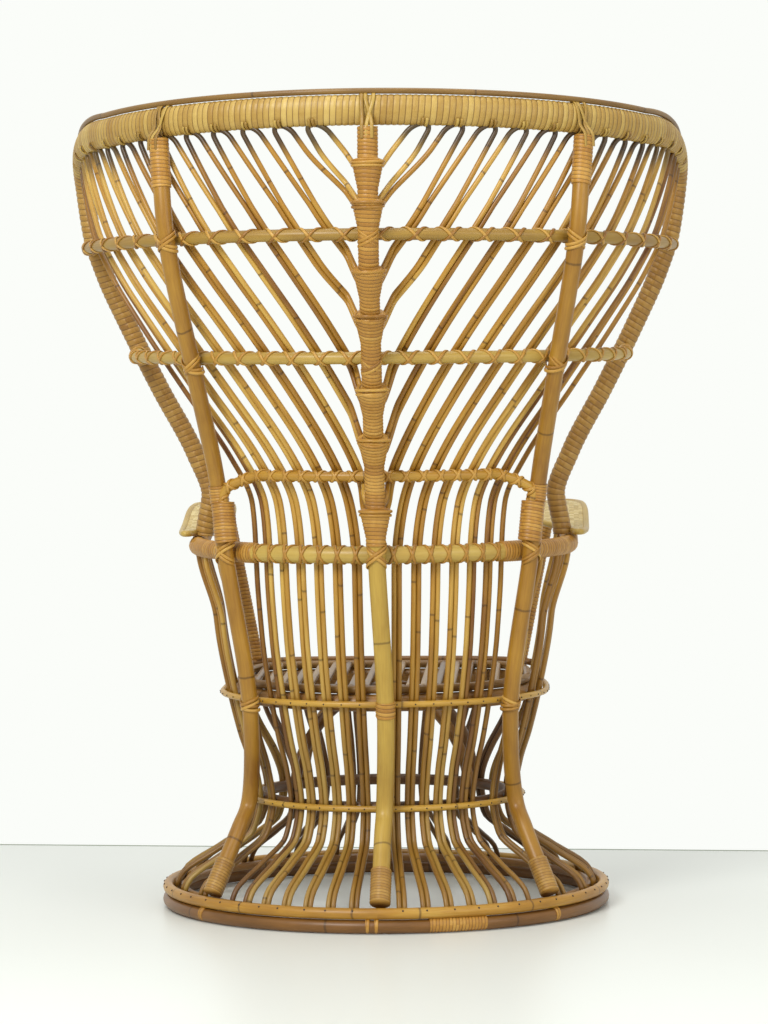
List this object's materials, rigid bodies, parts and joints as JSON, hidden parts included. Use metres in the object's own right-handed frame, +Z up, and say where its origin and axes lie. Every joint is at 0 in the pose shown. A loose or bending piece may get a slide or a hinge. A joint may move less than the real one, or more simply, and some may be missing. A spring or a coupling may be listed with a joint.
{
  "type": "peacock chair",
  "caption": "High-backed rattan armchair with a fan back of paired hairpin canes, a narrow waist and a flared round base.",
  "frame": {"origin": "middle of the chair's outline on the floor", "axes": "+Z up; the sitter faces -Y, so the fan back is at +Y; +X is the sitter's left"},
  "size_m": [0.8684, 0.782, 1.1442],
  "materials": {
    "tan_cane": "satin, lacquered",
    "honey_pole": "satin, lacquered",
    "dark_pole": "satin, lacquered",
    "straw_cane": "satin, split cane",
    "binding_cane": "satin, split cane"
  },
  "bodies": {
    "root": {"base_hoop": "dark_pole", "base_ring_inner": "dark_pole", "inner_waist_hoop": "dark_pole", "rim_cap": "dark_pole", "seat_hoop": "dark_pole", "under_seat_arch": "dark_pole", "base_ring_outer": "honey_pole", "lower_waist_hoop": "honey_pole", "upper_waist_hoop": "honey_pole", "spine_post": "honey_pole", "left_post": "honey_pole", "right_post": "honey_pole", "left_arm_edge": "honey_pole", "right_arm_edge": "honey_pole", "back_hoop": "straw_cane", "top_rail": "straw_cane", "middle_rail": "straw_cane", "lumbar_rail": "straw_cane", "arm_rail": "straw_cane", "seat_deck": "straw_cane", "left_arm_weave": "straw_cane", "right_arm_weave": "straw_cane", "left_fan_cane_01": "tan_cane", "left_fan_cane_02": "tan_cane", "left_fan_cane_03": "tan_cane", "left_fan_cane_04": "tan_cane", "left_fan_cane_05": "tan_cane", "left_fan_cane_06": "tan_cane", "left_fan_cane_07": "tan_cane", "left_fan_cane_08": "tan_cane", "left_fan_cane_09": "tan_cane", "left_fan_cane_10": "tan_cane", "left_fan_cane_11": "tan_cane", "left_fan_cane_12": "tan_cane", "left_fan_cane_13": "tan_cane", "left_side_panel": "tan_cane", "left_arm_strut": "binding_cane", "left_foot_winding": "binding_cane", "right_fan_cane_01": "tan_cane", "right_fan_cane_02": "tan_cane", "right_fan_cane_03": "tan_cane", "right_fan_cane_04": "tan_cane", "right_fan_cane_05": "tan_cane", "right_fan_cane_06": "tan_cane", "right_fan_cane_07": "tan_cane", "right_fan_cane_08": "tan_cane", "right_fan_cane_09": "tan_cane", "right_fan_cane_10": "tan_cane", "right_fan_cane_11": "tan_cane", "right_fan_cane_12": "tan_cane", "right_fan_cane_13": "tan_cane", "right_side_panel": "tan_cane", "right_arm_strut": "binding_cane", "right_foot_winding": "binding_cane", "front_skirt": "tan_cane", "spine_foot_winding": "binding_cane"}
  },
  "joints": []
}
